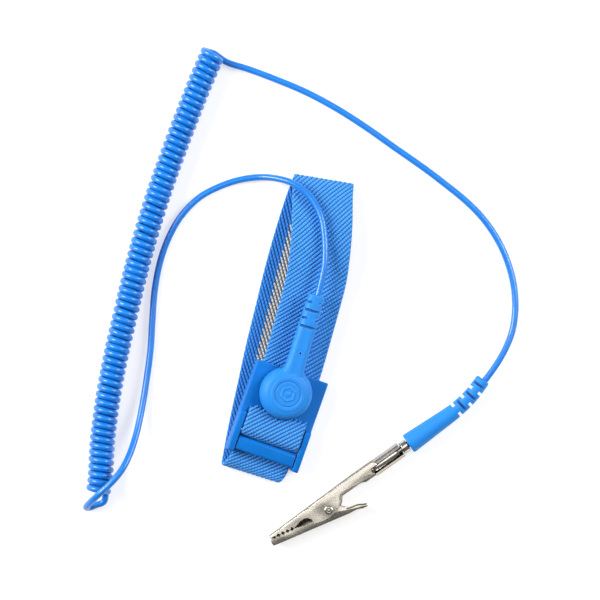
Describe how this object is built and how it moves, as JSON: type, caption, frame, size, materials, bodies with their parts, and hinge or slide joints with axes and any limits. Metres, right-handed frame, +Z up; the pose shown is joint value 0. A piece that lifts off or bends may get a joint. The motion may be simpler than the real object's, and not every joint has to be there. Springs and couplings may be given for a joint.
{
  "type": "esd wrist strap",
  "caption": "Elastic wrist band in a hinged clamp buckle, with a press-stud curly earthing lead that ends in a plug and a sprung crocodile clip.",
  "frame": {"origin": "on the table, on the underside of the band's lower layer, below the middle of the snap head's top", "axes": "+Y along the buckle towards the lead's strain relief, +Z up from the table, +X to the buckle's right"},
  "size_m": [0.1302, 0.1557, 0.014],
  "materials": {
    "webbing": "elastic twill webbing with a silver conductive stripe inside",
    "buckle_plastic": "moulded satin",
    "overmould": "soft moulded satin",
    "cord_jacket": "extruded, semi-gloss",
    "stainless": "brushed",
    "nickel": "bright nickel plate",
    "clip_steel": "nickel-plated stamped sheet",
    "spring_brass": "drawn wire",
    "resistor_coat": "dipped lacquer"
  },
  "bodies": {
    "wristband": {"band": "webbing", "buckle_frame": "buckle_plastic", "skin_plate": "stainless", "stud_post": "nickel", "snap_stud": "nickel"},
    "clamp_door": {"clamp_door": "buckle_plastic"},
    "lead": {"lead_cord": "cord_jacket", "coil_cord": "cord_jacket", "clip_cord": "cord_jacket", "clip_boot": "overmould", "plug_pin": "nickel"},
    "snap_head": {"snap_cap": "overmould", "snap_socket": "nickel", "socket_spring": "spring_brass", "safety_resistor": "resistor_coat", "snap_wire": "nickel", "cord_wire": "nickel"},
    "plug_spring": {"plug_spring": "nickel"},
    "crocodile_clip": {"upper_jaw": "clip_steel", "clip_rivet": "clip_steel", "clip_spring": "clip_steel"},
    "lower_jaw": {"lower_jaw": "clip_steel"}
  },
  "joints": [
    {"name": "door_hinge", "type": "hinge", "parent": "wristband", "child": "clamp_door", "pos_m": [-0.00084, -0.0193, 0.00679], "axis": [-0.9816, 0, 0.1908], "range_deg": [0, 90]},
    {"name": "unsnap", "type": "slide", "parent": "wristband", "child": "lead", "axis": [0.1908, 0, 0.9816], "range_m": [0, 0.008]},
    {"name": "snap_swivel", "type": "hinge", "parent": "lead", "child": "snap_head", "pos_m": [0, 0, 0.01294], "axis": [0.1908, 0, 0.9816], "range_deg": [-25, 30]},
    {"name": "clip_spin", "type": "hinge", "parent": "lead", "child": "plug_spring", "pos_m": [0.0428, -0.0024, 0.00375], "axis": [-0.5764, -0.8171, 0], "continuous": true},
    {"name": "clip_pull", "type": "slide", "parent": "plug_spring", "child": "crocodile_clip", "axis": [-0.5764, -0.8171, 0], "range_m": [0, 0.016]},
    {"name": "jaw_hinge", "type": "hinge", "parent": "crocodile_clip", "child": "lower_jaw", "pos_m": [0.0253, -0.03154, 0.00375], "axis": [0, 0, 1], "range_deg": [0, 22], "stiffness_Nm_per_rad": 0.15, "springref_deg": -20.05}
  ]
}
